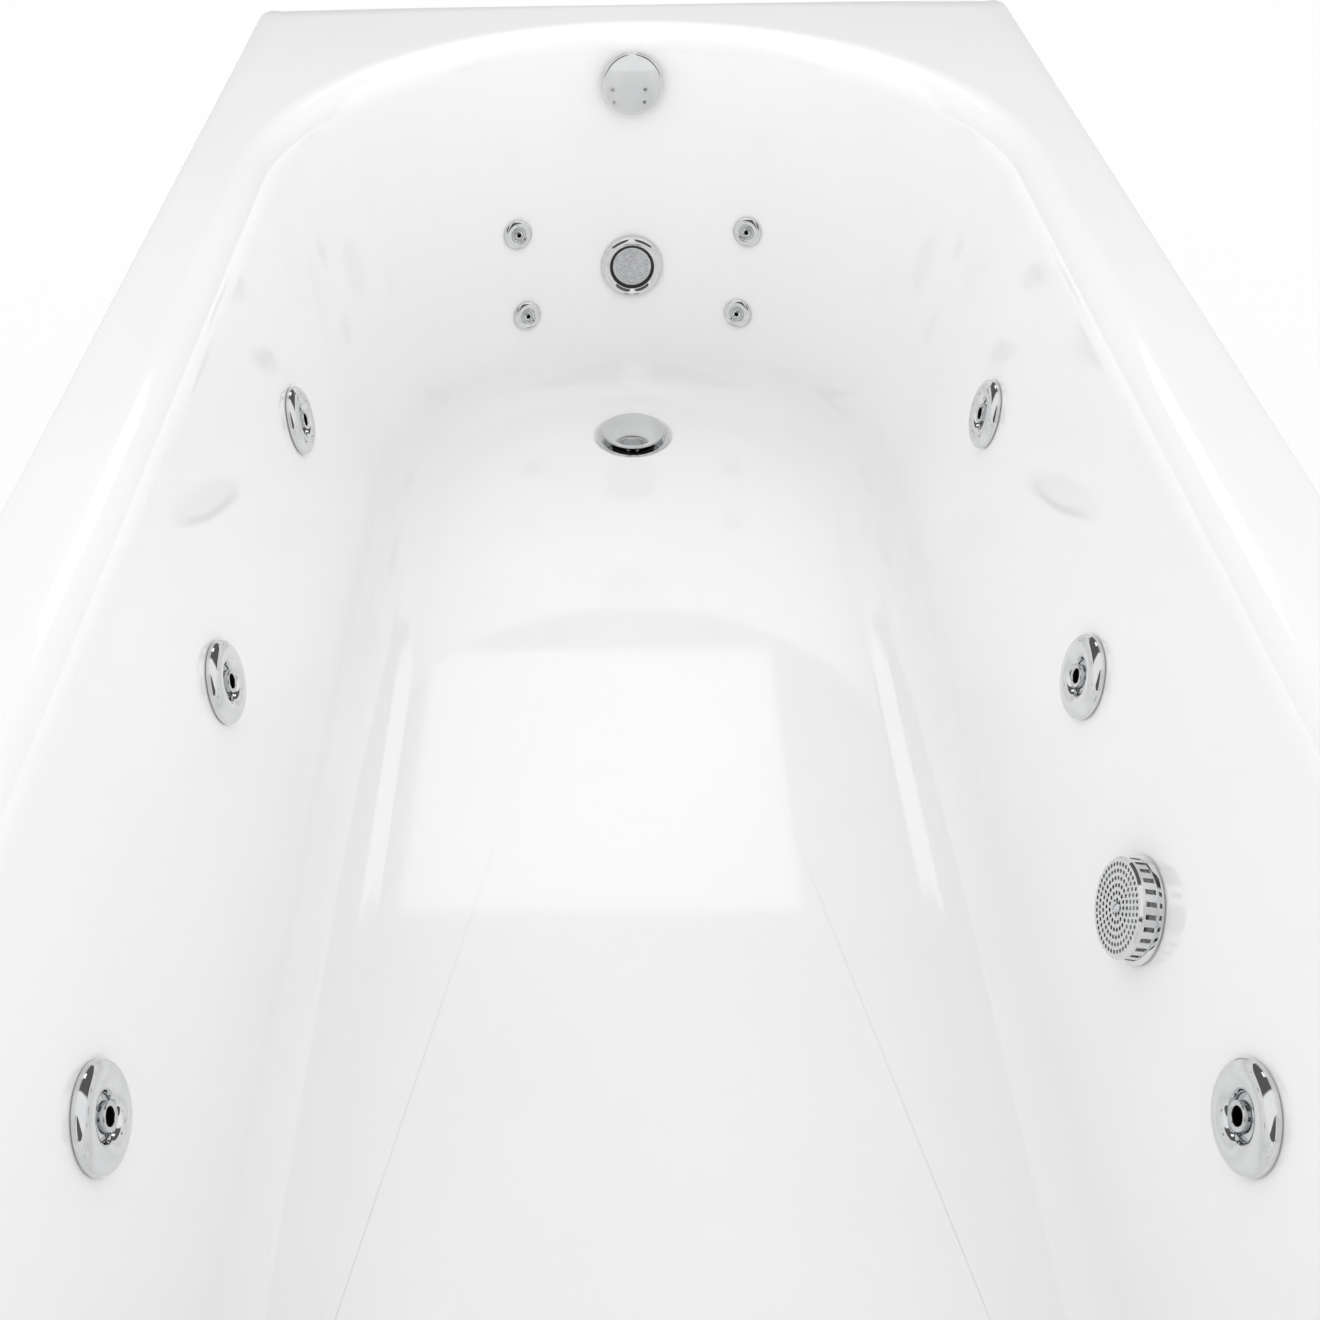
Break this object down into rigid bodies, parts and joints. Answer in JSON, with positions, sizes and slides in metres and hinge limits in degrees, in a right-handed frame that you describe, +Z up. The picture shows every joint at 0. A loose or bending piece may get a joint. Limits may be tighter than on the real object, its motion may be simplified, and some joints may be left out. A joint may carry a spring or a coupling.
{
  "type": "jetted bathtub",
  "caption": "White rectangular jetted bath with rounded foot end, side and micro jets, light, pop-up waste, leg frame and circulation pump.",
  "frame": {"origin": "on the floor that the feet stand on, under the middle of the rim", "axes": "+X from the head end to the foot end along the bath, +Y to the side without the suction cap, +Z up"},
  "size_m": [1.8, 0.8, 0.609],
  "materials": {
    "acrylic": "glossy white sanitary acrylic",
    "board": "raw moisture proofed board",
    "zinc_steel": "zinc plated",
    "rubber": "matt black",
    "white_plastic": "moulded white",
    "grey_plastic": "moulded grey",
    "black_plastic": "moulded black",
    "white_pipe": "extruded white pipe",
    "clear_hose": "milky flexible hose",
    "chrome": "bright chrome plate",
    "satin_chrome": "chrome plate",
    "lens": "clear prismatic lens over a grey reflector",
    "aluminium": "cast and painted grey",
    "bearing_steel": "ground steel"
  },
  "bodies": {
    "tub": {"bath_shell": "acrylic", "base_board": "board", "rim_battens": "board", "leg_cradles": "zinc_steel", "foot_studs": "zinc_steel", "leg_fasteners": "zinc_steel", "foot_pads": "rubber", "jet_bodies": "white_plastic", "micro_bodies": "white_plastic", "micro_rims": "chrome", "micro_nozzles": "satin_chrome", "suction_body": "white_plastic", "suction_cover": "chrome", "suction_screw": "chrome", "light_housing": "white_plastic", "light_bezel": "chrome", "light_lens": "lens", "overflow_body": "grey_plastic", "waste_flange": "chrome", "waste_body": "grey_plastic", "waste_trap": "grey_plastic", "overflow_pipe": "grey_plastic", "popup_cable": "black_plastic", "seals": "rubber", "clamp_nuts": "white_plastic", "pump_tray": "zinc_steel", "pump_feet": "rubber", "pump_motor": "aluminium", "pump_bearings": "bearing_steel", "pump_fan_cover": "black_plastic", "terminal_box": "black_plastic", "pump_volute": "black_plastic", "pump_unions": "white_plastic", "suction_pipe": "white_pipe", "water_pipes": "white_pipe", "micro_pipes": "clear_hose", "air_pipes": "clear_hose", "control_bodies": "chrome", "button_bellows": "rubber", "air_switch_tube": "clear_hose"},
    "ring_1": {"jet_ring_1": "chrome"},
    "nozzle_1": {"jet_nozzle_1": "satin_chrome"},
    "ring_2": {"jet_ring_2": "chrome"},
    "nozzle_2": {"jet_nozzle_2": "satin_chrome"},
    "ring_3": {"jet_ring_3": "chrome"},
    "nozzle_3": {"jet_nozzle_3": "satin_chrome"},
    "ring_4": {"jet_ring_4": "chrome"},
    "nozzle_4": {"jet_nozzle_4": "satin_chrome"},
    "ring_5": {"jet_ring_5": "chrome"},
    "nozzle_5": {"jet_nozzle_5": "satin_chrome"},
    "ring_6": {"jet_ring_6": "chrome"},
    "nozzle_6": {"jet_nozzle_6": "satin_chrome"},
    "knob": {"overflow_knob": "chrome"},
    "plug": {"waste_plug": "chrome", "plug_seal": "rubber"},
    "air_control": {"air_knob": "chrome"},
    "button": {"power_button": "chrome"},
    "rotor": {"pump_shaft": "bearing_steel", "pump_impeller": "black_plastic", "pump_fan": "black_plastic"}
  },
  "joints": [
    {"name": "ring_1_turn", "type": "hinge", "parent": "tub", "child": "ring_1", "pos_m": [0.335, 0.29738, 0.422], "axis": [0, -0.9848, 0.1736], "range_deg": [0, 90]},
    {"name": "nozzle_1_tilt", "type": "hinge", "parent": "ring_1", "child": "nozzle_1", "pos_m": [0.335, 0.30033, 0.42148], "axis": [1, 0, 0], "range_deg": [-15, 15]},
    {"name": "ring_2_turn", "type": "hinge", "parent": "tub", "child": "ring_2", "pos_m": [0, 0.29738, 0.422], "axis": [0, -0.9848, 0.1736], "range_deg": [0, 90]},
    {"name": "nozzle_2_tilt", "type": "hinge", "parent": "ring_2", "child": "nozzle_2", "pos_m": [0, 0.30033, 0.42148], "axis": [1, 0, 0], "range_deg": [-15, 15]},
    {"name": "ring_3_turn", "type": "hinge", "parent": "tub", "child": "ring_3", "pos_m": [-0.335, 0.29738, 0.422], "axis": [0, -0.9848, 0.1736], "range_deg": [0, 90]},
    {"name": "nozzle_3_tilt", "type": "hinge", "parent": "ring_3", "child": "nozzle_3", "pos_m": [-0.335, 0.30033, 0.42148], "axis": [1, 0, 0], "range_deg": [-15, 15]},
    {"name": "ring_4_turn", "type": "hinge", "parent": "tub", "child": "ring_4", "pos_m": [0.335, -0.29738, 0.422], "axis": [0, 0.9848, 0.1736], "range_deg": [0, 90]},
    {"name": "nozzle_4_tilt", "type": "hinge", "parent": "ring_4", "child": "nozzle_4", "pos_m": [0.335, -0.30033, 0.42148], "axis": [-1, 0, 0], "range_deg": [-15, 15]},
    {"name": "ring_5_turn", "type": "hinge", "parent": "tub", "child": "ring_5", "pos_m": [0, -0.29738, 0.422], "axis": [0, 0.9848, 0.1736], "range_deg": [0, 90]},
    {"name": "nozzle_5_tilt", "type": "hinge", "parent": "ring_5", "child": "nozzle_5", "pos_m": [0, -0.30033, 0.42148], "axis": [-1, 0, 0], "range_deg": [-15, 15]},
    {"name": "ring_6_turn", "type": "hinge", "parent": "tub", "child": "ring_6", "pos_m": [-0.335, -0.29738, 0.422], "axis": [0, 0.9848, 0.1736], "range_deg": [0, 90]},
    {"name": "nozzle_6_tilt", "type": "hinge", "parent": "ring_6", "child": "nozzle_6", "pos_m": [-0.335, -0.30033, 0.42148], "axis": [-1, 0, 0], "range_deg": [-15, 15]},
    {"name": "overflow_knob_turn", "type": "hinge", "parent": "tub", "child": "knob", "pos_m": [0.81176, 0, 0.538], "axis": [-0.9877, 0, 0.1564], "range_deg": [0, 90]},
    {"name": "plug_lift", "type": "slide", "parent": "tub", "child": "plug", "axis": [0, 0, 1], "range_m": [-0.007, 0]},
    {"name": "air_knob_turn", "type": "hinge", "parent": "tub", "child": "air_control", "pos_m": [-0.85, -0.35, 0.59], "axis": [0, 0, 1], "range_deg": [0, 180]},
    {"name": "power_button_press", "type": "slide", "parent": "tub", "child": "button", "axis": [0, 0, 1], "range_m": [-0.004, 0], "stiffness_N_per_m": 900, "springref_m": 0.001, "deforming": ["button_bellows"]},
    {"name": "pump_rotor_spin", "type": "hinge", "parent": "tub", "child": "rotor", "pos_m": [-0.69, 0.05, 0.13], "axis": [0, 1, 0], "continuous": true}
  ],
  "couplings": [
    {"joint": "plug_lift", "follows": "overflow_knob_turn", "m_per_rad": -0.004456}
  ]
}
